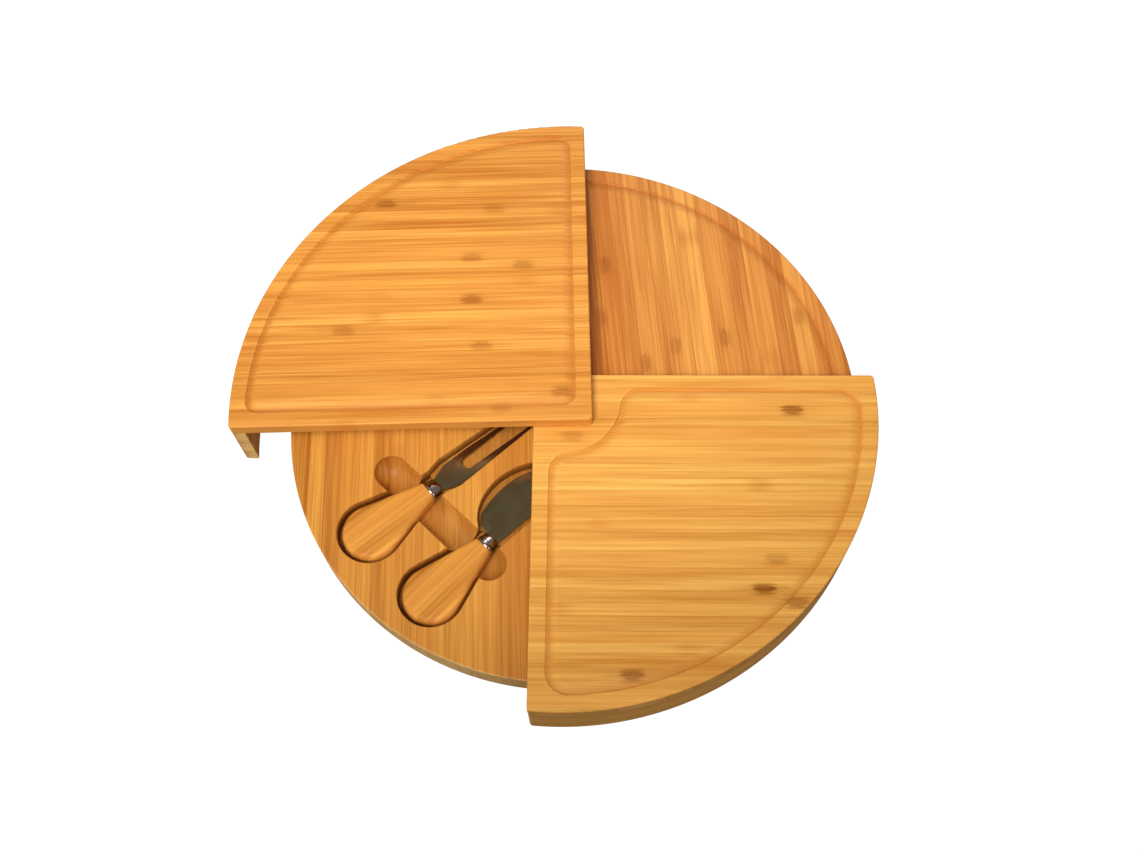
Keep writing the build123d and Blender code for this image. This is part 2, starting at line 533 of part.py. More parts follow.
with BuildPart() as fork_ferrule:
    with BuildSketch(FORK_FERRULE):
        RectangleRounded(FERRULE_WIDTH, FERRULE_HEIGHT, FERRULE_CORNER)
    extrude(amount=FERRULE_BEAD)
    with BuildSketch(FORK_FERRULE.offset(FERRULE_BEAD)):
        RectangleRounded(FERRULE_WIDTH - FERRULE_STEP, FERRULE_HEIGHT - FERRULE_STEP, FERRULE_CORNER)
    with BuildSketch(FORK_FERRULE.offset(FERRULE_LENGTH)):
        RectangleRounded(FERRULE_TIP_WIDTH, FERRULE_TIP_HEIGHT, FERRULE_TIP_CORNER)
    loft()
    with BuildSketch(FORK_FERRULE):
        Rectangle(TANG_WIDTH + 2 * TANG_CLEARANCE, BLADE_THICKNESS + 2 * TANG_CLEARANCE)
    extrude(amount=FERRULE_LENGTH, mode=Mode.SUBTRACT)
fork_ferrule.part.label = "fork_ferrule"
export_step(fork_ferrule.part, "parts/fork_ferrule.step")

with BuildPart() as fork_blade:
    with BuildSketch(FORK_AXIS.offset(-BLADE_THICKNESS / 2)) as fork_outline:
        with BuildLine():
            Polyline(
                (FERRULE_END, -BLADE_ROOT_HALF),
                (FERRULE_END + FORK_SHOULDER, -FORK_HEAD_WIDTH / 2),
                (FERRULE_END + FORK_TAPER_START, -FORK_HEAD_WIDTH / 2),
                (FERRULE_END + FORK_LENGTH, -FORK_TIP_OUTER),
                (FERRULE_END + FORK_LENGTH, FORK_TIP_OUTER),
                (FERRULE_END + FORK_TAPER_START, FORK_HEAD_WIDTH / 2),
                (FERRULE_END + FORK_SHOULDER, FORK_HEAD_WIDTH / 2),
                (FERRULE_END, BLADE_ROOT_HALF),
                close=True,
            )
        make_face()
        fillet(fork_outline.vertices().sort_by(Axis.X)[4:6], FORK_TAPER_ROUND)
        fillet(fork_outline.vertices().sort_by(Axis.X)[2:4], FORK_SHOULDER_ROUND)
        with BuildLine():
            Polyline(
                (FERRULE_END + FORK_SLOT_START + FORK_SLOT_WIDTH / 2, -FORK_SLOT_WIDTH / 2),
                (FERRULE_END + FORK_LENGTH, -FORK_TIP_INNER),
                (FERRULE_END + FORK_LENGTH, FORK_TIP_INNER),
                (FERRULE_END + FORK_SLOT_START + FORK_SLOT_WIDTH / 2, FORK_SLOT_WIDTH / 2),
                close=True,
            )
        make_face(mode=Mode.SUBTRACT)
        with Locations((FERRULE_END + FORK_SLOT_START + FORK_SLOT_WIDTH / 2, 0)):
            Circle(FORK_SLOT_WIDTH / 2, mode=Mode.SUBTRACT)
        with Locations((TANG_END, 0)):
            Rectangle(FERRULE_END - TANG_END, TANG_WIDTH, align=(Align.MIN, Align.CENTER))
    extrude(amount=BLADE_THICKNESS)
fork_blade.part.label = "fork_blade"
export_step(fork_blade.part, "parts/fork_blade.step")

# Knife: the same handle and ferrule, with a deep blade.
with BuildPart() as knife_handle:
    with BuildSketch(KNIFE_AXIS.offset(-HANDLE_THICKNESS / 2)):
        Circle(HANDLE_BULB_RADIUS)
        with Locations((HANDLE_NECK_REACH, 0)):
            Rectangle(HANDLE_NECK_FLAT, HANDLE_NECK_WIDTH, align=(Align.MAX, Align.CENTER))
        make_hull()
    extrude(amount=HANDLE_THICKNESS)
    knife_end = knife_handle.faces().sort_by(Axis(KNIFE_AXIS.origin, KNIFE_AXIS.x_dir))[-1]
    knife_faces = knife_handle.faces().sort_by(Axis.Z)
    knife_rounds = knife_faces[-1].edges() + knife_faces[0].edges()
    knife_end_edges = knife_end.edges()
    fillet([edge for edge in knife_rounds if edge not in knife_end_edges], HANDLE_ROUND)
    with BuildSketch(KNIFE_AXIS.offset(-BLADE_THICKNESS / 2 - TANG_CLEARANCE)):
        with Locations((TANG_END - TANG_CLEARANCE, 0)):
            Rectangle(
                TANG_LENGTH + 2 * TANG_CLEARANCE,
                TANG_WIDTH + 2 * TANG_CLEARANCE,
                align=(Align.MIN, Align.CENTER),
            )
    extrude(amount=BLADE_THICKNESS + 2 * TANG_CLEARANCE, mode=Mode.SUBTRACT)
knife_handle.part.label = "knife_handle"
export_step(knife_handle.part, "parts/knife_handle.step")

with BuildPart() as knife_ferrule:
    with BuildSketch(KNIFE_FERRULE):
        RectangleRounded(FERRULE_WIDTH, FERRULE_HEIGHT, FERRULE_CORNER)
    extrude(amount=FERRULE_BEAD)
    with BuildSketch(KNIFE_FERRULE.offset(FERRULE_BEAD)):
        RectangleRounded(FERRULE_WIDTH - FERRULE_STEP, FERRULE_HEIGHT - FERRULE_STEP, FERRULE_CORNER)
    with BuildSketch(KNIFE_FERRULE.offset(FERRULE_LENGTH)):
        RectangleRounded(FERRULE_TIP_WIDTH, FERRULE_TIP_HEIGHT, FERRULE_TIP_CORNER)
    loft()
    with BuildSketch(KNIFE_FERRULE):
        Rectangle(TANG_WIDTH + 2 * TANG_CLEARANCE, BLADE_THICKNESS + 2 * TANG_CLEARANCE)
    extrude(amount=FERRULE_LENGTH, mode=Mode.SUBTRACT)
knife_ferrule.part.label = "knife_ferrule"
export_step(knife_ferrule.part, "parts/knife_ferrule.step")

with BuildPart() as knife_blade:
    with BuildSketch(KNIFE_AXIS.offset(-BLADE_THICKNESS / 2)):
        with BuildLine():
            knife_belly = Spline(*KNIFE_EDGE_POINTS)
            Polyline(
                knife_belly @ 1,
                (FERRULE_END + KNIFE_LENGTH - KNIFE_TIP_BACK, KNIFE_SPINE),
                (FERRULE_END, -BLADE_ROOT_HALF),
                knife_belly @ 0,
            )
        make_face()
    extrude(amount=BLADE_THICKNESS)
    # Both faces are ground along the belly, down to a thin edge.
    with BuildLine(KNIFE_AXIS, mode=Mode.PRIVATE) as knife_edge:
        ground_belly = Spline(*KNIFE_EDGE_POINTS)
        Line(ground_belly @ 1, ground_belly @ 1 + KNIFE_BEVEL_BREAKOUT * (ground_belly % 1))
    knife_edge_wire = knife_edge.wires()[0]
    edge_tangent = knife_edge_wire % 0
    with BuildSketch(
        Plane(origin=knife_edge_wire @ 0, x_dir=edge_tangent.cross(Vector(0, 0, 1)), z_dir=edge_tangent)
    ):
        with BuildLine():
            Polyline(
                (KNIFE_BEVEL, BLADE_THICKNESS / 2),
                (-KNIFE_BEVEL_BREAKOUT, KNIFE_BREAKOUT_HALF),
                (-KNIFE_BEVEL_BREAKOUT, BLADE_THICKNESS),
                (KNIFE_BEVEL, BLADE_THICKNESS),
                close=True,
            )
        make_face()
        with BuildLine():
            Polyline(
                (KNIFE_BEVEL, -BLADE_THICKNESS / 2),
                (-KNIFE_BEVEL_BREAKOUT, -KNIFE_BREAKOUT_HALF),
                (-KNIFE_BEVEL_BREAKOUT, -BLADE_THICKNESS),
                (KNIFE_BEVEL, -BLADE_THICKNESS),
                close=True,
            )
        make_face()
    sweep(path=knife_edge_wire, mode=Mode.SUBTRACT)
    with BuildSketch(KNIFE_AXIS.offset(-BLADE_THICKNESS / 2)):
        with Locations((TANG_END, 0)):
            Rectangle(FERRULE_END - TANG_END, TANG_WIDTH, align=(Align.MIN, Align.CENTER))
    extrude(amount=BLADE_THICKNESS)
knife_blade.part.label = "knife_blade"
export_step(knife_blade.part, "parts/knife_blade.step")
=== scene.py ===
import json
import math
from collections import namedtuple

import bmesh
import bpy
from mathutils import Matrix, Vector


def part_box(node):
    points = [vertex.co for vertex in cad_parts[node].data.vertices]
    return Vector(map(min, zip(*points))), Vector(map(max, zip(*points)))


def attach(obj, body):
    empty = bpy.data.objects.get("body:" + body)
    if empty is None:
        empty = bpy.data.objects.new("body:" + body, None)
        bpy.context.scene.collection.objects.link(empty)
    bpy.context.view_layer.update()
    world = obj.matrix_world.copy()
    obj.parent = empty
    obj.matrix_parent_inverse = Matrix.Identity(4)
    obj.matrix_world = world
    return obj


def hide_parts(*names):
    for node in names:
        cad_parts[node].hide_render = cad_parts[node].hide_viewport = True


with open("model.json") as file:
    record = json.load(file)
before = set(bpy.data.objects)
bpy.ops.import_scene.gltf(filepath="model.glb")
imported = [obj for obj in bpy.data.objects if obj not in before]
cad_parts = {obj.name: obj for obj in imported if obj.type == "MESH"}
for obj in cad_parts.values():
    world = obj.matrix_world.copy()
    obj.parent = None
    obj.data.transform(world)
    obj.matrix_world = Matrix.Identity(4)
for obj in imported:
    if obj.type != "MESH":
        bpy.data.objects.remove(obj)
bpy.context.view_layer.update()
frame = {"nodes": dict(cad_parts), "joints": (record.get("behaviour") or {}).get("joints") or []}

# Looks of a bamboo cheese board: four quarter-round boards on one pivot, with a fork and a knife
# in the base. Lengths are in metres, angles in degrees, and colours linear.

JOINTS = {joint["name"]: joint for joint in frame["joints"]}
PIVOT = Vector((*JOINTS["second_swivel"]["pos_m"][:2], 0.0))

# Camera, as the photograph was taken.
CAMERA_LENS_MM = 40.27
CAMERA_SENSOR_MM = 36.0
CAMERA_ELEVATION = 64.46
CAMERA_ROLL = -2.23
CAMERA_DISTANCE = 0.9181
CAMERA_TARGET = Vector((0.01014, -0.00769, 0.0))
CAMERA_NEAR = 0.01

# Bamboo: the pale and dark of its strips, the warm tint that some of them have, their mean width
# across the grain, how far they differ in tone, and how much their glue lines show.
BambooFinish = namedtuple("BambooFinish", "pale dark warm strip spread glue")
TOP_BAMBOO = BambooFinish(
    pale=(0.86, 0.400, 0.075),
    dark=(0.50, 0.155, 0.016),
    warm=(0.80, 0.320, 0.055),
    strip=0.0085,
    spread=0.50,
    glue=0.45,
)
THIRD_BAMBOO = BambooFinish(
    pale=(0.94, 0.510, 0.110),
    dark=(0.62, 0.225, 0.026),
    warm=(0.90, 0.400, 0.075),
    strip=0.0085,
    spread=0.45,
    glue=0.40,
)
SECOND_BAMBOO = BambooFinish(
    pale=(0.80, 0.360, 0.070),
    dark=(0.42, 0.115, 0.012),
    warm=(0.72, 0.250, 0.045),
    strip=0.0140,
    spread=0.95,
    glue=0.45,
)
BASE_BAMBOO = BambooFinish(
    pale=(0.82, 0.370, 0.060),
    dark=(0.42, 0.130, 0.012),
    warm=(0.74, 0.270, 0.040),
    strip=0.0110,
    spread=0.60,
    glue=0.30,
)
HANDLE_BAMBOO = BambooFinish(
    pale=(0.92, 0.430, 0.075),
    dark=(0.48, 0.155, 0.014),
    warm=(0.84, 0.320, 0.050),
    strip=0.0075,
    spread=0.55,
    glue=0.35,
)
# Where it is sawn across the grain, any bamboo takes these colours.
SAWN_COLOURS = {
    "pale": (0.98, 0.655, 0.250),
    "dark": (0.66, 0.330, 0.092),
    "warm": (0.94, 0.545, 0.180),
}
KNUCKLE_BROWN = (0.27, 0.064, 0.001)
# Painted shade in the tool recess, darkest on its walls.
RECESS_PAINTED_SHADE_BROWN = (0.16, 0.040, 0.003)
BAMBOO_ROUGHNESS = 0.38
BAMBOO_SPECULAR = 0.22

# Fibres: their width across the grain, length along it, detail of the noise, and weight in the tone.
Fibre = namedtuple("Fibre", "width length detail weight")
FINE_FIBRE = Fibre(width=0.0007, length=0.060, detail=2.0, weight=1.20)
STREAK = Fibre(width=0.0026, length=0.140, detail=2.0, weight=1.50)
CLOUD = Fibre(width=0.0120, length=0.090, detail=1.0, weight=0.60)
FIBRE_DEPTH_IN_WIDTHS = 3.0
FIBRE_ROUGHNESS = 0.16
STREAK_HEIGHT = 0.6
STRIP_RANDOMNESS = 0.8
CANE_SHIFT = 3.0
WARM_SHARE = 0.45
GLUE_LINE_WIDTH = 0.00055
GLUE_LINE_HEIGHT = -0.7

# Faint knuckles, which cross every strip: how far apart, how long as a share of that, how strong.
FAINT_KNUCKLE_SPACING = 0.31
FAINT_KNUCKLE_SHIFT = 5.0
FAINT_KNUCKLE_REACH = 0.045
FAINT_KNUCKLE_STRENGTH = 0.35

# Knuckles: the dark marks where a cane had a joint, measured from the pivot on the opened board,
# as (x, y, strength), x to the right and y away from the viewer.
KNUCKLE_HALF_LENGTH = 0.0066
KNUCKLE_HALF_WIDTH = 0.0040
KNUCKLE_RAGGEDNESS = 2.4
KNUCKLE_ROUGHNESS = -0.08
RAGGED_WIDTH = 0.0012
RAGGED_LENGTH = 0.012
TAIL_SHORTNESS = 0.10
TAIL_STRENGTH = 0.26
TOP_KNUCKLES = (
    (-0.062, 0.113, 0.55),
    (-0.025, 0.105, 0.60),
    (-0.062, 0.078, 0.75),
    (-0.152, 0.056, 0.50),
    (-0.055, 0.040, 0.55),
    (-0.125, 0.163, 0.80),
    (-0.045, 0.155, 0.40),
    (0.000, 0.002, 0.70),
    (-0.042, -0.009, 0.35),
)
THIRD_KNUCKLES = (
    (0.157, -0.015, 1.00),
    (0.125, -0.142, 0.95),
    (0.145, -0.152, 0.80),
    (0.037, -0.195, 0.95),
    (0.135, -0.122, 0.45),
    (0.005, -0.028, 0.45),
)
SECOND_KNUCKLES = (
    (0.035, 0.115, 0.60),
    (0.030, 0.070, 0.55),
    (0.060, 0.032, 0.60),
    (0.082, 0.045, 0.50),
    (0.118, 0.050, 0.55),
    (0.172, 0.065, 0.50),
)
# Over dark streaks a mark is full, and over pale ones it thins to this share.
DARK_STREAK = 0.30
PALE_STREAK = 0.62
MARK_ON_PALE_STREAK = 0.68

# Painted shade in hollows: depth below the top face, and how much of the darker colour the floor and walls
# take.
PaintedHollowShade = namedtuple("PaintedHollowShade", "depth floor wall")
GROOVE_PAINTED_SHADE = PaintedHollowShade(depth=0.0018, floor=0.60, wall=0.0)
RECESS_PAINTED_SHADE = PaintedHollowShade(depth=0.0090, floor=0.30, wall=0.85)
# The painted shade starts at a share of the depth. Floor and wall are told apart by how far they face up.
PAINTED_SHADE_START = 0.1
WALL_FACING_UP = 0.05
FLOOR_FACING_UP = 0.25

# The base board's curved side: the share of sawn colour along the grain and across it, and the
# shares of the radius between which the side turns from one to the other.
SIDE_ALONG_GRAIN = 0.40
SIDE_ACROSS_GRAIN = 0.90
SIDE_TURN = (0.2, 0.7)

# Bands in which a tint comes or goes, each as two distances short of an edge.
RECESS_OFF_CURVE = (0.003, 0.002)
RECESS_OFF_EDGE = (0.002, 0.001)
SAWN_CURVE = (0.0008, 0.0002)
SAWN_RIM_END = (0.0004, 0.0001)

# Metals: colour where clean and where smudged, mean roughness, and the length of the scratches.
MetalFinish = namedtuple("MetalFinish", "clean smudged roughness scratch")
# The blade steel's warm brown is partly the steel and partly painted reflection of the bamboo round the
# blades.
BLADE_STEEL_AND_PAINTED_REFLECTION = MetalFinish((0.34, 0.26, 0.125), (0.26, 0.19, 0.085), roughness=0.26, scratch=0.030)
FERRULE_CHROME = MetalFinish((0.50, 0.48, 0.43), (0.40, 0.38, 0.34), roughness=0.15, scratch=0.010)
BOLT_ZINC = MetalFinish((0.55, 0.55, 0.57), (0.42, 0.42, 0.43), roughness=0.34, scratch=0.004)
INSERT_BRASS = MetalFinish((0.72, 0.50, 0.20), (0.55, 0.36, 0.13), roughness=0.36, scratch=0.004)
SCRATCH_WIDTH = 0.00035
SCRATCH_DETAIL = 3.0
SCRATCH_ROUGHNESS = 0.12
SMUDGE_LENGTH = 0.014
SMUDGE_WIDTH = 0.009
SMUDGE_DETAIL = 2.0
SMUDGE_BAND = (0.35, 0.70)
SMUDGE_ROUGHNESS = 0.16

# Nylon of the spacers, mottled between two whites.
NYLON_DULL = (0.70, 0.68, 0.60)
NYLON_BRIGHT = (0.78, 0.76, 0.70)
NYLON_MOTTLE = 0.0025
MOTTLE_DETAIL = 3.0
MOTTLE_BAND = (0.3, 0.7)
NYLON_SMOOTH = 0.45
NYLON_ROUGH = 0.60

# Relief of each surface: strength of its bumps, and their depth.
BAMBOO_RELIEF = (0.35, 0.00012)
METAL_RELIEF = (0.06, 0.00004)
NYLON_RELIEF = (0.10, 0.00010)

# Rims: bars bent round the pivot, with the sizes of the construction, and built up from layers.
# Their middle lies in this direction from the pivot when the boards are closed.
CLOSED_MIDDLE = -135.0
RIM_THICKNESS = 0.0095
RIM_PAST_PIVOT = 0.0200
RIM_CORNER = 0.0025
RIM_FOOT_CHAMFER = 0.0008
RIM_STEPS = 140
RIM_SHARP_ANGLE = 30.0
RIM_LAYER = 0.0065

# Tools: which way each handle points, and where its bulb is, as in the construction.
FORK_ANGLE = 37.6
FORK_BULB = PIVOT + Vector((-0.1340, -0.0829, 0.0))
KNIFE_ANGLE = 44.5
KNIFE_BULB = PIVOT + Vector((-0.0922, -0.1290, 0.0))

# Ferrules: turned collars with a bead at the handle, as (reach from the neck, half width, half height).
NECK_REACH = 0.048
FERRULE_STATIONS = (
    (0.0000, 0.0072, 0.0058),
    (0.0004, 0.0075, 0.0061),
    (0.0012, 0.0076, 0.0062),
    (0.0021, 0.0075, 0.0061),
    (0.0025, 0.0070, 0.0056),
    (0.0040, 0.0069, 0.0054),
    (0.0060, 0.0065, 0.0047),
    (0.0080, 0.0059, 0.0038),
    (0.0087, 0.0056, 0.0034),
    (0.0090, 0.0052, 0.0030),
)
FERRULE_SIDES = 48
FERRULE_SHARP_ANGLE = 50.0

# Light: a soft lamp from the front left, a window at the left, two panels that the ferrules mirror,
# and a white surround that is brighter to the camera than to the object.
LAMP_PLACE = Vector((-0.20, -0.40, 0.95))
LAMP_AIM = Vector((0.05, 0.45, 0.0))
LAMP_RADIUS = 0.24
LAMP_CONE = 63.6
LAMP_BLEND = 0.57
LAMP_WATTS = 48.0
WINDOW_PLACE = Vector((-0.75, -0.15, 0.30))
WINDOW_AIM = Vector((-0.10, -0.05, 0.03))
WINDOW_SIZE = (0.30, 0.30)
WINDOW_WATTS = 1.7
FRONT_PANEL = Vector((0.64, -0.49, 0.56))
FRONT_PANEL_WATTS = 1.4
BACK_PANEL = Vector((0.23, 0.61, 0.51))
BACK_PANEL_WATTS = 0.9
PANEL_AIM = Vector((-0.06, -0.08, 0.02))
PANEL_SIZE = (0.25, 0.35)
SURROUND_LIGHT = 0.22
WHITE = (1.0, 1.0, 1.0)

# The floor lies a hair below the boards, so that their feet and the floor are never one plane.
FLOOR_DROP = 0.0001
FLOOR_HALF_SIZE = 4.0
FLOOR_GREY = (0.18, 0.18, 0.18)
FLOOR_GLOW = 0.97


class Wiring:
    """Adds nodes to one tree and links them."""

    def __init__(self, tree):
        self.tree = tree

    def plug(self, socket, value):
        if isinstance(value, bpy.types.NodeSocket):
            self.tree.links.new(value, socket)
        else:
            socket.default_value = value

    def add(self, kind, inputs=None, **settings):
        node = self.tree.nodes.new(kind)
        for name, value in settings.items():
            setattr(node, name, value)
        for name, value in (inputs or {}).items():
            self.plug(node.inputs[name], value)
        return node

    def math(self, operation, *values):
        node = self.add("ShaderNodeMath", operation=operation)
        for socket, value in zip(node.inputs, values):
            self.plug(socket, value)
        return node.outputs["Value"]

    def sway(self, value, weight, base):
        """Adds to base how far value lies from a half, times weight."""
        return self.math("MULTIPLY_ADD", self.math("SUBTRACT", value, 0.5), weight, base)

    def split(self, vector):
        return self.add("ShaderNodeSeparateXYZ", {"Vector": vector}).outputs

    def join(self, x, y, z):
        return self.add("ShaderNodeCombineXYZ", {"X": x, "Y": y, "Z": z}).outputs["Vector"]

    def divided(self, places, sizes):
        """A vector of three places, each divided by its own size."""
        return self.join(*(self.math("DIVIDE", place, size) for place, size in zip(places, sizes)))

    def from_axis(self, x, y):
        """Distance from the vertical through the origin."""
        squares = self.math("ADD", self.math("MULTIPLY", x, x), self.math("MULTIPLY", y, y))
        return self.math("SQRT", squares)

    def ease(self, value, low, high, start=0.0, end=1.0):
        """Goes smoothly from start to end while value goes from low to high."""
        node = self.add("ShaderNodeMapRange", interpolation_type="SMOOTHSTEP")
        names = ("Value", "From Min", "From Max", "To Min", "To Max")
        for name, setting in zip(names, (value, low, high, start, end)):
            self.plug(node.inputs[name], setting)
        return node.outputs["Result"]

    def short_of(self, value, edge, band, start=0.0, end=1.0):
        """Goes smoothly from start to end in a band short of an edge."""
        far, near = band
        return self.ease(value, edge - far, edge - near, start, end)

    def blend(self, share, first, second):
        """Mixes two colours."""
        node = self.add("ShaderNodeMix", data_type="RGBA")
        colour_inputs = [socket for socket in node.inputs if socket.type == "RGBA"]
        self.plug(node.inputs["Factor"], share)
        self.plug(colour_inputs[0], first)
        self.plug(colour_inputs[1], second)
        return next(socket for socket in node.outputs if socket.type == "RGBA")

    def noise(self, vector, detail=2.0):
        settings = {"Vector": vector, "Scale": 1.0, "Detail": detail, "Roughness": 0.5}
        return self.add("ShaderNodeTexNoise", settings).outputs["Fac"]


def new_group(name, inputs, outputs, kind_of_tree="ShaderNodeTree"):
    """A node group with named inputs, as (name, kind, default), and outputs, as (name, kind)."""
    group = bpy.data.node_groups.new(name, kind_of_tree)
    for label, kind, default in inputs:
        socket = group.interface.new_socket(label, in_out="INPUT", socket_type="NodeSocket" + kind)
        if default is not None:
            socket.default_value = default
    for label, kind in outputs:
        group.interface.new_socket(label, in_out="OUTPUT", socket_type="NodeSocket" + kind)
    given = group.nodes.new("NodeGroupInput")
    result = group.nodes.new("NodeGroupOutput")
    return group, given.outputs, result.inputs


def rgba(colour):
    return (*colour, 1.0)


def bamboo_strips_group():
    """Strips glued side by side across X, with fibres along Y, thin glue lines and faint knuckles."""
    group, given, result = new_group(
        "Bamboo strips",
        [
            ("Vector", "Vector", None),
            ("Strip Width", "Float", TOP_BAMBOO.strip),
            ("Pale", "Color", rgba(TOP_BAMBOO.pale)),
            ("Dark", "Color", rgba(TOP_BAMBOO.dark)),
            ("Warm", "Color", rgba(TOP_BAMBOO.warm)),
            ("Tone Spread", "Float", TOP_BAMBOO.spread),
            ("Glue Line", "Float", TOP_BAMBOO.glue),
            ("Marks", "Float", 0.0),
        ],
        [("Color", "Color"), ("Roughness", "Float"), ("Height", "Float")],
    )
    wire = Wiring(group)
    across, along, up = wire.split(given["Vector"])
    strip = wire.math("DIVIDE", across, given["Strip Width"])
    layout = {"W": strip, "Scale": 1.0, "Randomness": STRIP_RANDOMNESS}
    cell = wire.add("ShaderNodeTexVoronoi", layout, voronoi_dimensions="1D", feature="F1")
    edge = wire.add("ShaderNodeTexVoronoi", layout, voronoi_dimensions="1D", feature="DISTANCE_TO_EDGE")
    draw = wire.add("ShaderNodeSeparateColor", {"Color": cell.outputs["Color"]}).outputs
    # Each strip is cut from another place along its cane.
    shifted = wire.math("MULTIPLY_ADD", draw["Green"], CANE_SHIFT, along)

    def fibres(kind):
        sizes = (kind.width, kind.length, FIBRE_DEPTH_IN_WIDTHS * kind.width)
        return wire.noise(wire.divided((across, shifted, up), sizes), kind.detail)

    fine = fibres(FINE_FIBRE)
    streak = fibres(STREAK)
    cloud = fibres(CLOUD)
    tone = wire.sway(draw["Red"], given["Tone Spread"], 0.5)
    tone = wire.sway(fine, FINE_FIBRE.weight, tone)
    tone = wire.sway(streak, STREAK.weight, tone)
    tone = wire.sway(cloud, CLOUD.weight, tone)
    # A faint knuckle crosses each strip now and then.
    place = wire.math("MULTIPLY_ADD", draw["Blue"], FAINT_KNUCKLE_SHIFT, along)
    share = wire.math("FRACT", wire.math("DIVIDE", place, FAINT_KNUCKLE_SPACING))
    offset = wire.math("ABSOLUTE", wire.math("SUBTRACT", share, 0.5))
    faint = wire.ease(offset, 0.0, FAINT_KNUCKLE_REACH, FAINT_KNUCKLE_STRENGTH, 0.0)
    tone = wire.math("SUBTRACT", tone, wire.math("MULTIPLY", faint, draw["Red"]))
    tone = wire.add("ShaderNodeClamp", {"Value": tone}).outputs["Result"]
    colour = wire.blend(tone, given["Dark"], given["Pale"])
    colour = wire.blend(wire.math("MULTIPLY", draw["Blue"], WARM_SHARE), colour, given["Warm"])
    gap = wire.math("MULTIPLY", edge.outputs["Distance"], given["Strip Width"])
    glue = wire.math("MULTIPLY", wire.ease(gap, 0.0, GLUE_LINE_WIDTH, 1.0, 0.0), given["Glue Line"])
    colour = wire.blend(glue, colour, given["Dark"])
    # The dark marks keep the fibres showing through them.
    cover = wire.ease(streak, DARK_STREAK, PALE_STREAK, 1.0, MARK_ON_PALE_STREAK)
    burnt = wire.math("MULTIPLY", given["Marks"], cover)
    wire.plug(result["Color"], wire.blend(burnt, colour, rgba(KNUCKLE_BROWN)))
    rough = wire.math("MULTIPLY_ADD", fine, FIBRE_ROUGHNESS, BAMBOO_ROUGHNESS)
    rough = wire.math("MULTIPLY_ADD", given["Marks"], KNUCKLE_ROUGHNESS, rough)
    wire.plug(result["Roughness"], rough)
    height = wire.math("MULTIPLY_ADD", streak, STREAK_HEIGHT, fine)
    height = wire.math("MULTIPLY_ADD", glue, GLUE_LINE_HEIGHT, height)
    wire.plug(result["Height"], height)
    return group


def knuckle_mark_group():
    """One dark mark on top of other marks, ragged at its ends and with a fainter tail along the grain."""
    group, given, result = new_group(
        "Knuckle mark",
        [
            ("Vector", "Vector", None),
            ("Other Marks", "Float", 0.0),
            ("Centre", "Vector", None),
            ("Half Length", "Float", KNUCKLE_HALF_LENGTH),
            ("Half Width", "Float", KNUCKLE_HALF_WIDTH),
            ("Strength", "Float", 1.0),
        ],
        [("Marks", "Float")],
    )
    wire = Wiring(group)
    ends = {0: given["Vector"], 1: given["Centre"]}
    away = wire.add("ShaderNodeVectorMath", ends, operation="SUBTRACT")
    across, along, _ = wire.split(away.outputs["Vector"])
    wobble = wire.noise(
        wire.join(
            wire.math("DIVIDE", across, RAGGED_WIDTH),
            wire.math("DIVIDE", along, RAGGED_LENGTH),
            0.0,
        )
    )
    ragged = wire.math("MULTIPLY", wire.math("SUBTRACT", wobble, 0.5), KNUCKLE_RAGGEDNESS)
    along = wire.math("MULTIPLY_ADD", ragged, given["Half Length"], along)
    side = wire.math("POWER", wire.math("DIVIDE", across, given["Half Width"]), 2.0)
    ahead = wire.math("POWER", wire.math("DIVIDE", along, given["Half Length"]), 2.0)
    square = wire.math("ADD", wire.math("MULTIPLY", side, side), wire.math("MULTIPLY", ahead, ahead))
    core = wire.math("EXPONENT", wire.math("MULTIPLY", square, -1.0))
    drawn_out = wire.math("MULTIPLY_ADD", ahead, TAIL_SHORTNESS, side)
    tail = wire.math("EXPONENT", wire.math("MULTIPLY", drawn_out, -1.0))
    mark = wire.math("MULTIPLY_ADD", tail, TAIL_STRENGTH, core)
    mark = wire.math("MULTIPLY", wire.math("MINIMUM", mark, 1.0), given["Strength"])
    wire.plug(result["Marks"], wire.math("MAXIMUM", mark, given["Other Marks"]))
    return group


def handled_metal_group():
    """Soft smudges and fine scratches along X, for metal that is used and wiped."""
    group, given, result = new_group(
        "Handled metal",
        [
            ("Vector", "Vector", None),
            ("Scratch Length", "Float", BLADE_STEEL_AND_PAINTED_REFLECTION.scratch),
            ("Clean Color", "Color", rgba(BLADE_STEEL_AND_PAINTED_REFLECTION.clean)),
            ("Smudged Color", "Color", rgba(BLADE_STEEL_AND_PAINTED_REFLECTION.smudged)),
            ("Mean Roughness", "Float", BLADE_STEEL_AND_PAINTED_REFLECTION.roughness),
        ],
        [("Color", "Color"), ("Roughness", "Float"), ("Height", "Float")],
    )
    wire = Wiring(group)
    places = wire.split(given["Vector"])
    scratch_sizes = (given["Scratch Length"], SCRATCH_WIDTH, SCRATCH_WIDTH)
    scratch = wire.noise(wire.divided(places, scratch_sizes), SCRATCH_DETAIL)
    smudge_sizes = (SMUDGE_LENGTH, SMUDGE_WIDTH, SMUDGE_WIDTH)
    smudge = wire.noise(wire.divided(places, smudge_sizes), SMUDGE_DETAIL)
    smudged = wire.ease(smudge, *SMUDGE_BAND)
    wire.plug(result["Color"], wire.blend(smudged, given["Clean Color"], given["Smudged Color"]))
    rough = wire.sway(scratch, SCRATCH_ROUGHNESS, given["Mean Roughness"])
    wire.plug(result["Roughness"], wire.sway(smudge, SMUDGE_ROUGHNESS, rough))
    wire.plug(result["Height"], scratch)
    return group


STRIPS_GROUP = bamboo_strips_group()
KNUCKLE_GROUP = knuckle_mark_group()
METAL_GROUP = handled_metal_group()


def new_material(name):
    material = bpy.data.materials.new(name)
    material.use_nodes = True
    shader = material.node_tree.nodes["Principled BSDF"]
    return material, Wiring(material.node_tree), shader


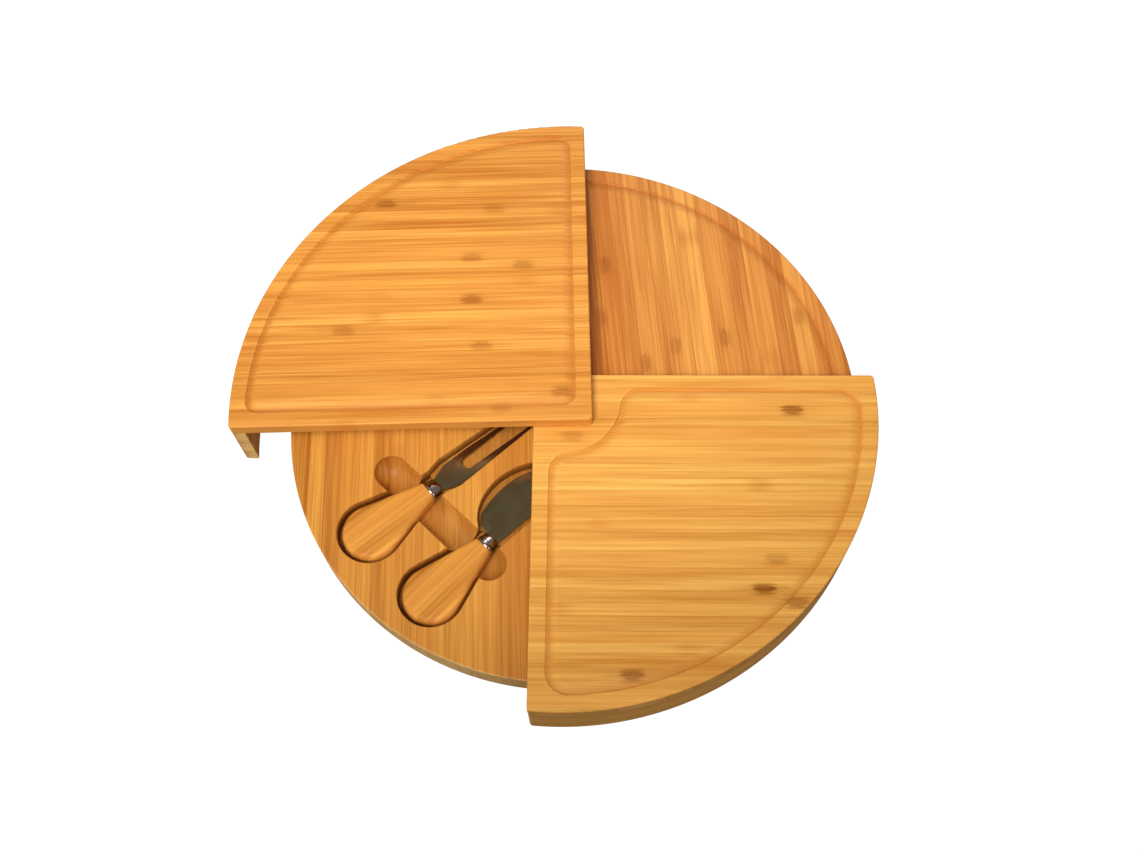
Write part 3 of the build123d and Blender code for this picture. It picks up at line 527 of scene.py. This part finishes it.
def piece_coordinates(wire, place, turn):
    """Object coordinates laid along a piece: origin at place, turned by turn about the vertical.

    With a board's own turn they are those of the closed board, whose grain runs along Y.
    """
    source = wire.add("ShaderNodeTexCoord").outputs["Object"]
    mapping = wire.add("ShaderNodeMapping", {"Vector": source}, vector_type="TEXTURE")
    mapping.inputs["Location"].default_value = place
    mapping.inputs["Rotation"].default_value = (0.0, 0.0, math.radians(turn))
    return mapping.outputs["Vector"]


def bump(wire, shader, height, relief):
    strength, depth = relief
    node = wire.add("ShaderNodeBump", {"Height": height, "Strength": strength, "Distance": depth})
    wire.plug(shader.inputs["Normal"], node.outputs["Normal"])


def strips(wire, grain, finish, marks):
    """Places the strips in a material, in one piece's finish."""
    settings = {
        "Vector": grain,
        "Strip Width": finish.strip,
        "Pale": rgba(finish.pale),
        "Dark": rgba(finish.dark),
        "Warm": rgba(finish.warm),
        "Tone Spread": finish.spread,
        "Glue Line": finish.glue,
        "Marks": marks,
    }
    return wire.add("ShaderNodeGroup", settings, node_tree=STRIPS_GROUP).outputs


def bamboo(name, place, turn, finish, knuckles=(), rim_radius=None, ends=None, painted_shade=None):
    """Oiled bamboo. A rim is bent from layers, so its strips lie flat and run round the pivot.

    Ends says where the piece shows sawn ends; the painted shade says where shade is painted into the
    colour, and in which colour.
    """
    material, wire, shader = new_material(name)
    closed = piece_coordinates(wire, place, turn)
    marks = 0.0
    back = Matrix.Rotation(math.radians(-turn), 3, "Z")
    for x, y, strength in knuckles:
        settings = {
            "Vector": closed,
            "Other Marks": marks,
            "Centre": back @ Vector((x, y, 0.0)),
            "Strength": strength,
        }
        marks = wire.add("ShaderNodeGroup", settings, node_tree=KNUCKLE_GROUP).outputs["Marks"]
    grain = round_the_rim(wire, closed, rim_radius) if rim_radius else closed
    wood = strips(wire, grain, finish, marks)
    colour = wood["Color"]
    if ends:
        sawn = strips(wire, grain, finish._replace(**SAWN_COLOURS), 0.0)
        colour = wire.blend(ends(wire, closed), colour, sawn["Color"])
    # Painted shade: the colour darkens in grooves and recesses, where shade falls.
    if painted_shade:
        tint, shade = painted_shade
        colour = wire.blend(tint(wire, closed), colour, rgba(shade))
    wire.plug(shader.inputs["Base Color"], colour)
    wire.plug(shader.inputs["Roughness"], wood["Roughness"])
    shader.inputs["Specular IOR Level"].default_value = BAMBOO_SPECULAR
    bump(wire, shader, wood["Height"], BAMBOO_RELIEF)
    return material


def round_the_rim(wire, closed, radius):
    """Height, length round the rim and distance from the pivot, in the places of X, Y and Z."""
    middle = wire.add("ShaderNodeMapping", {"Vector": closed}, vector_type="TEXTURE")
    middle.inputs["Rotation"].default_value = (0.0, 0.0, math.radians(CLOSED_MIDDLE))
    x, y, z = wire.split(middle.outputs["Vector"])
    angle = wire.math("ARCTAN2", y, x)
    return wire.join(z, wire.math("MULTIPLY", angle, radius), wire.from_axis(x, y))


def painted_hollow_shade(wire, top, painted_shade):
    """Painted shade: rises at a depth below a board's top face, in grooves and recesses, where shade
    falls.
    """
    source = wire.add("ShaderNodeTexCoord").outputs
    height = wire.split(source["Object"])["Z"]
    facing_up = wire.split(source["Normal"])["Z"]
    below = wire.math("SUBTRACT", top, height)
    low = wire.ease(below, PAINTED_SHADE_START * painted_shade.depth, painted_shade.depth)
    share = wire.ease(facing_up, WALL_FACING_UP, FLOOR_FACING_UP, painted_shade.wall, painted_shade.floor)
    return wire.math("MULTIPLY", low, share)


def painted_groove_shade(board):
    """The juice groove of a board takes painted shade, a little darker than its top face."""
    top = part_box(board + "_plate")[1].z
    return lambda wire, _: painted_hollow_shade(wire, top, GROOVE_PAINTED_SHADE)


def painted_recess_shade(wire, closed):
    """Painted shade: the tool recess is painted darker than the base board's top face, its walls most; the
    outer sides aren't.
    """
    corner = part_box("base_board")[1]
    x, y, _ = wire.split(closed)
    radius = reach_from_pivot("base_board")
    inside = wire.short_of(wire.from_axis(x, y), radius, RECESS_OFF_CURVE, 1.0, 0.0)
    edge = min(corner.x - PIVOT.x, corner.y - PIVOT.y)
    clear = wire.short_of(wire.math("MAXIMUM", x, y), edge, RECESS_OFF_EDGE, 1.0, 0.0)
    tint = painted_hollow_shade(wire, corner.z, RECESS_PAINTED_SHADE)
    return wire.math("MULTIPLY", tint, wire.math("MULTIPLY", inside, clear))


def rim_ends(wire, closed):
    """Is 1 on a rim's two sawn ends, which lie past the pivot on the closed board's straight edges."""
    x, y, _ = wire.split(closed)
    return wire.short_of(wire.math("MAXIMUM", x, y), RIM_PAST_PIVOT, SAWN_RIM_END)


def base_ends(wire, closed):
    """Rises on the base board's curved side, most where the side cuts across the grain."""
    radius = reach_from_pivot("base_board")
    x, y, _ = wire.split(closed)
    side = wire.short_of(wire.from_axis(x, y), radius, SAWN_CURVE)
    low, high = (share * radius for share in SIDE_TURN)
    sawn = wire.ease(wire.math("ABSOLUTE", y), low, high, SIDE_ALONG_GRAIN, SIDE_ACROSS_GRAIN)
    return wire.math("MULTIPLY", side, sawn)


def metal(name, place, turn, finish):
    """Metal that is used and wiped, with its scratches along the piece."""
    material, wire, shader = new_material(name)
    settings = {
        "Vector": piece_coordinates(wire, place, turn),
        "Scratch Length": finish.scratch,
        "Clean Color": rgba(finish.clean),
        "Smudged Color": rgba(finish.smudged),
        "Mean Roughness": finish.roughness,
    }
    handled = wire.add("ShaderNodeGroup", settings, node_tree=METAL_GROUP).outputs
    wire.plug(shader.inputs["Base Color"], handled["Color"])
    wire.plug(shader.inputs["Roughness"], handled["Roughness"])
    shader.inputs["Metallic"].default_value = 1.0
    bump(wire, shader, handled["Height"], METAL_RELIEF)
    return material


def nylon():
    """Off-white washers, faintly mottled."""
    material, wire, shader = new_material("spacer_nylon_off_white")
    local = piece_coordinates(wire, PIVOT, 0.0)
    enlarged = {0: local, "Scale": 1.0 / NYLON_MOTTLE}
    scaled = wire.add("ShaderNodeVectorMath", enlarged, operation="SCALE")
    mottle = wire.noise(scaled.outputs["Vector"], MOTTLE_DETAIL)
    colour = wire.blend(wire.ease(mottle, *MOTTLE_BAND), rgba(NYLON_DULL), rgba(NYLON_BRIGHT))
    wire.plug(shader.inputs["Base Color"], colour)
    wire.plug(shader.inputs["Roughness"], wire.ease(mottle, *MOTTLE_BAND, NYLON_SMOOTH, NYLON_ROUGH))
    bump(wire, shader, mottle, NYLON_RELIEF)
    return material


def bent_rim_tree():
    """A straight bar, bent round the pivot until its ends lie on a closed board's two straight edges."""
    tree, given, result = new_group(
        "Bent rim",
        [
            ("Outer Radius", "Float", 0.2),
            ("Thickness", "Float", RIM_THICKNESS),
            ("Height", "Float", 0.02),
            ("Past Pivot", "Float", RIM_PAST_PIVOT),
            ("Corner Radius", "Float", RIM_CORNER),
            ("Foot Chamfer", "Float", RIM_FOOT_CHAMFER),
            ("Steps", "Int", RIM_STEPS),
            ("Turn", "Float", 0.0),
            ("Pivot", "Vector", PIVOT),
            ("Material", "Material", None),
        ],
        [("Rim", "Geometry")],
        "GeometryNodeTree",
    )
    wire = Wiring(tree)
    corner = given["Corner Radius"]
    place = wire.add("GeometryNodeInputPosition").outputs["Position"]
    along, side, drop = wire.split(place)
    # The bar: a section with a chamfered foot, drawn along a line that is one unit long.
    line = wire.add("GeometryNodeCurvePrimitiveLine", {"End": (1.0, 0.0, 0.0)}).outputs["Curve"]
    line = wire.add("GeometryNodeResampleCurve", {"Curve": line, "Count": given["Steps"]}).outputs["Curve"]
    section = wire.add(
        "GeometryNodeCurvePrimitiveQuadrilateral", {"Width": given["Thickness"], "Height": given["Height"]}
    ).outputs["Curve"]
    foot = wire.math("MULTIPLY", wire.math("LESS_THAN", side, 0.0), given["Foot Chamfer"])
    section = wire.add("GeometryNodeFilletCurve", {"Curve": section, "Radius": foot}).outputs["Curve"]
    bar = wire.add(
        "GeometryNodeCurveToMesh", {"Curve": line, "Profile Curve": section, "Fill Caps": True}
    ).outputs["Mesh"]
    # Steps are closer together at the ends, where the outer corners are rounded.
    share = wire.math("COSINE", wire.math("MULTIPLY", along, math.pi))
    share = wire.math("MULTIPLY_ADD", share, -0.5, 0.5)
    half_thickness = wire.math("MULTIPLY", given["Thickness"], 0.5)
    radius = wire.math("ADD", wire.math("SUBTRACT", given["Outer Radius"], half_thickness), side)
    lean = wire.math("ARCSINE", wire.math("DIVIDE", given["Past Pivot"], radius))
    first = wire.math("SUBTRACT", -math.pi, lean)
    sweep = wire.math("MULTIPLY_ADD", lean, 2.0, math.pi / 2)
    angle = wire.math("MULTIPLY_ADD", sweep, share, first)
    near = wire.math("MULTIPLY", wire.math("PINGPONG", share, 0.5), wire.math("MULTIPLY", sweep, radius))
    short = wire.math("MAXIMUM", wire.math("SUBTRACT", corner, near), 0.0)
    chord = wire.math("SUBTRACT", wire.math("POWER", corner, 2.0), wire.math("POWER", short, 2.0))
    cut = wire.math("SUBTRACT", corner, wire.math("SQRT", wire.math("MAXIMUM", chord, 0.0)))
    outer = wire.math("GREATER_THAN", side, 0.0)
    radius = wire.math("SUBTRACT", radius, wire.math("MULTIPLY", cut, outer))
    bent = wire.join(
        wire.math("MULTIPLY", radius, wire.math("COSINE", angle)),
        wire.math("MULTIPLY", radius, wire.math("SINE", angle)),
        wire.math("SUBTRACT", wire.math("MULTIPLY", given["Height"], 0.5), drop),
    )
    rim = wire.add("GeometryNodeSetPosition", {"Geometry": bar, "Position": bent}).outputs["Geometry"]
    rim = wire.add(
        "GeometryNodeTransform",
        {"Geometry": rim, "Translation": given["Pivot"], "Rotation": wire.join(0.0, 0.0, given["Turn"])},
    ).outputs["Geometry"]
    # Long faces are smooth, and every edge of the bar stays crisp.
    bend = wire.add("GeometryNodeInputMeshEdgeAngle").outputs["Unsigned Angle"]
    sharp = wire.math("GREATER_THAN", bend, math.radians(RIM_SHARP_ANGLE))
    rim = wire.add(
        "GeometryNodeSetShadeSmooth",
        {"Geometry": rim, "Selection": sharp, "Shade Smooth": False},
        domain="EDGE",
    ).outputs["Geometry"]
    rim = wire.add("GeometryNodeRealizeInstances", {"Geometry": rim}).outputs["Geometry"]
    rim = wire.add(
        "GeometryNodeSetMaterial", {"Geometry": rim, "Material": given["Material"]}
    ).outputs["Geometry"]
    wire.plug(result["Rim"], rim)
    return tree


def bend_rim(board, tree, radius, turn, material):
    """Makes one rim as a plain mesh in place of its node."""
    node = board + "_rim"
    low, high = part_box(node)
    rim = bpy.data.objects.new(board + "_rim_bent", bpy.data.meshes.new(board + "_rim_blank"))
    bpy.context.scene.collection.objects.link(rim)
    bender = rim.modifiers.new("bent_rim", "NODES")
    bender.node_group = tree
    settings = {
        "Outer Radius": radius,
        "Height": high.z - low.z,
        "Turn": math.radians(turn),
        "Material": material,
    }
    for socket in tree.interface.items_tree:
        if socket.name in settings:
            bender[socket.identifier] = settings[socket.name]
    shaped = rim.evaluated_get(bpy.context.evaluated_depsgraph_get())
    rim.data = bpy.data.meshes.new_from_object(shaped)
    rim.modifiers.remove(bender)
    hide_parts(node)
    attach(rim, board + "_board")


def turn_ferrule(tool, bulb, angle, material):
    """Makes one ferrule, rounder than its node and with a rolled bead, in place of it."""
    node = tool + "_ferrule"
    low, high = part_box(node)
    middle = Matrix.Translation((bulb.x, bulb.y, (low.z + high.z) / 2))
    aim = Matrix.Rotation(math.radians(angle), 4, "Z")
    place = middle @ aim @ Matrix.Translation((NECK_REACH, 0.0, 0.0))
    shell = bmesh.new()
    rings = []
    for reach, half_width, half_height in FERRULE_STATIONS:
        ring = []
        for step in range(FERRULE_SIDES):
            turn = 2 * math.pi * step / FERRULE_SIDES
            point = Vector((reach, half_width * math.cos(turn), half_height * math.sin(turn)))
            ring.append(shell.verts.new(place @ point))
        rings.append(ring)
    for ring, following in zip(rings, rings[1:]):
        for step in range(FERRULE_SIDES):
            beside = (step + 1) % FERRULE_SIDES
            shell.faces.new((ring[step], ring[beside], following[beside], following[step]))
    shell.faces.new(rings[0])
    shell.faces.new(rings[-1])
    bmesh.ops.recalc_face_normals(shell, faces=shell.faces)
    mesh = bpy.data.meshes.new(node + "_turned")
    shell.to_mesh(mesh)
    shell.free()
    mesh.shade_smooth()
    mesh.set_sharp_from_angle(angle=math.radians(FERRULE_SHARP_ANGLE))
    mesh.materials.append(material)
    ferrule = bpy.data.objects.new(node + "_turned", mesh)
    bpy.context.scene.collection.objects.link(ferrule)
    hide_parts(node)
    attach(ferrule, tool)


def wear(node, material):
    for slot in frame["nodes"][node].material_slots:
        slot.material = material


def turned_out(joint_name):
    """How far a board is turned out from the base, in degrees."""
    joint = JOINTS[joint_name]
    return -joint["range_deg"][0] * joint["axis"][2]


def reach_from_pivot(node):
    """Greatest distance of a node from the pivot."""
    points = (vertex.co - PIVOT for vertex in frame["nodes"][node].data.vertices)
    return max(math.hypot(point.x, point.y) for point in points)


def dress_boards():
    boards = (
        ("second", SECOND_BAMBOO, SECOND_KNUCKLES),
        ("third", THIRD_BAMBOO, THIRD_KNUCKLES),
        ("top", TOP_BAMBOO, TOP_KNUCKLES),
    )
    rim_tree = bent_rim_tree()
    for board, finish, knuckles in boards:
        turn = turned_out(board + "_swivel")
        # Painted shade in the juice groove, in the board's dark colour.
        groove = (painted_groove_shade(board), finish.dark)
        plate = bamboo(board + "_plate_bamboo", PIVOT, turn, finish, knuckles, painted_shade=groove)
        wear(board + "_plate", plate)
        radius = reach_from_pivot(board + "_rim")
        layered = finish._replace(strip=RIM_LAYER)
        rim = bamboo(board + "_rim_bamboo", PIVOT, turn, layered, rim_radius=radius, ends=rim_ends)
        bend_rim(board, rim_tree, radius, turn, rim)
    # Painted shade in the tool recess, in a deep brown.
    recess = (painted_recess_shade, RECESS_PAINTED_SHADE_BROWN)
    base = bamboo("base_bamboo_oiled", PIVOT, 0.0, BASE_BAMBOO, ends=base_ends, painted_shade=recess)
    wear("base_board", base)


def dress_tools():
    for tool, bulb, angle in (("fork", FORK_BULB, FORK_ANGLE), ("knife", KNIFE_BULB, KNIFE_ANGLE)):
        # A handle's grain runs along it, so its strips lie across the tool's own line.
        wear(tool + "_handle", bamboo(tool + "_handle_bamboo", bulb, angle - 90.0, HANDLE_BAMBOO))
        wear(tool + "_blade", metal(tool + "_blade_steel", bulb, angle, BLADE_STEEL_AND_PAINTED_REFLECTION))
        chrome = metal(tool + "_ferrule_chrome", bulb, angle, FERRULE_CHROME)
        turn_ferrule(tool, bulb, angle, chrome)


def dress_pivot():
    zinc = metal("bolt_zinc", PIVOT, 0.0, BOLT_ZINC)
    wear("pivot_bolt", zinc)
    wear("pivot_washer", zinc)
    wear("pivot_insert", metal("insert_brass", PIVOT, 0.0, INSERT_BRASS))
    white = nylon()
    for spacer in ("lower_spacer", "middle_spacer", "upper_spacer"):
        wear(spacer, white)


def lay_floor():
    """Pale floor. To the camera it is nearly white; to the object it throws back only a little light."""
    mesh = bpy.data.meshes.new("floor")
    half = FLOOR_HALF_SIZE
    corners = ((-half, -half), (half, -half), (half, half), (-half, half))
    mesh.from_pydata([(x, y, -FLOOR_DROP) for x, y in corners], [], [(0, 1, 2, 3)])
    floor = bpy.data.objects.new("floor", mesh)
    bpy.context.scene.collection.objects.link(floor)
    material = bpy.data.materials.new("floor_white")
    material.use_nodes = True
    material.node_tree.nodes.clear()
    wire = Wiring(material.node_tree)
    seen = wire.add("ShaderNodeLightPath").outputs["Is Camera Ray"]
    paper = wire.add("ShaderNodeBsdfDiffuse", {"Color": rgba(FLOOR_GREY)}).outputs["BSDF"]
    glow = wire.add("ShaderNodeEmission", {"Color": rgba(WHITE), "Strength": FLOOR_GLOW})
    bright = wire.add("ShaderNodeAddShader", {0: paper, 1: glow.outputs["Emission"]})
    mixed = wire.add("ShaderNodeMixShader", {0: seen, 1: paper, 2: bright.outputs["Shader"]})
    wire.add("ShaderNodeOutputMaterial", {"Surface": mixed.outputs["Shader"]})
    mesh.materials.append(material)


def hang(light, place, aim):
    """Puts a light in its place, facing its aim."""
    holder = bpy.data.objects.new(light.name, light)
    holder.location = place
    holder.rotation_euler = (aim - place).to_track_quat("-Z", "Y").to_euler()
    bpy.context.scene.collection.objects.link(holder)


def hang_panel(name, place, aim, size, watts):
    panel = bpy.data.lights.new(name, "AREA")
    panel.shape = "RECTANGLE"
    panel.size, panel.size_y = size
    panel.energy = watts
    hang(panel, place, aim)


def light_studio():
    """An even white surround, a soft lamp that fades towards the viewer, a window and two panels."""
    world = bpy.data.worlds.new("studio")
    bpy.context.scene.world = world
    world.use_nodes = True
    wire = Wiring(world.node_tree)
    background = world.node_tree.nodes["Background"]
    seen = wire.add("ShaderNodeLightPath").outputs["Is Camera Ray"]
    strength = wire.math("MULTIPLY_ADD", seen, 1.0 - SURROUND_LIGHT, SURROUND_LIGHT)
    wire.plug(background.inputs["Strength"], strength)
    background.inputs["Color"].default_value = rgba(WHITE)
    lamp = bpy.data.lights.new("soft_lamp", "SPOT")
    lamp.shadow_soft_size = LAMP_RADIUS
    lamp.spot_size = math.radians(LAMP_CONE)
    lamp.spot_blend = LAMP_BLEND
    lamp.energy = LAMP_WATTS
    hang(lamp, LAMP_PLACE, LAMP_AIM)
    hang_panel("left_window", WINDOW_PLACE, WINDOW_AIM, WINDOW_SIZE, WINDOW_WATTS)
    hang_panel("ferrule_panel", FRONT_PANEL, PANEL_AIM, PANEL_SIZE, FRONT_PANEL_WATTS)
    hang_panel("ferrule_panel", BACK_PANEL, PANEL_AIM, PANEL_SIZE, BACK_PANEL_WATTS)


def set_camera():
    """Looks along +Y and down, with the roll that the photograph has."""
    tilt = math.radians(CAMERA_ELEVATION)
    roll = math.radians(CAMERA_ROLL)
    ahead = Vector((0.0, math.cos(tilt), -math.sin(tilt)))
    level_up = Vector((0.0, math.sin(tilt), math.cos(tilt)))
    level_right = Vector((1.0, 0.0, 0.0))
    right = math.cos(roll) * level_right + math.sin(roll) * level_up
    up = math.cos(roll) * level_up - math.sin(roll) * level_right
    data = bpy.data.cameras.new("camera")
    data.sensor_width = CAMERA_SENSOR_MM
    data.lens = CAMERA_LENS_MM
    data.clip_start = CAMERA_NEAR
    camera = bpy.data.objects.new("camera", data)
    turn = Matrix((right, up, -ahead)).transposed().to_4x4()
    camera.matrix_world = Matrix.Translation(CAMERA_TARGET - CAMERA_DISTANCE * ahead) @ turn
    bpy.context.scene.collection.objects.link(camera)
    bpy.context.scene.camera = camera
    bpy.context.scene.view_settings.view_transform = "Standard"


dress_boards()
dress_tools()
dress_pivot()
lay_floor()
light_studio()
set_camera()
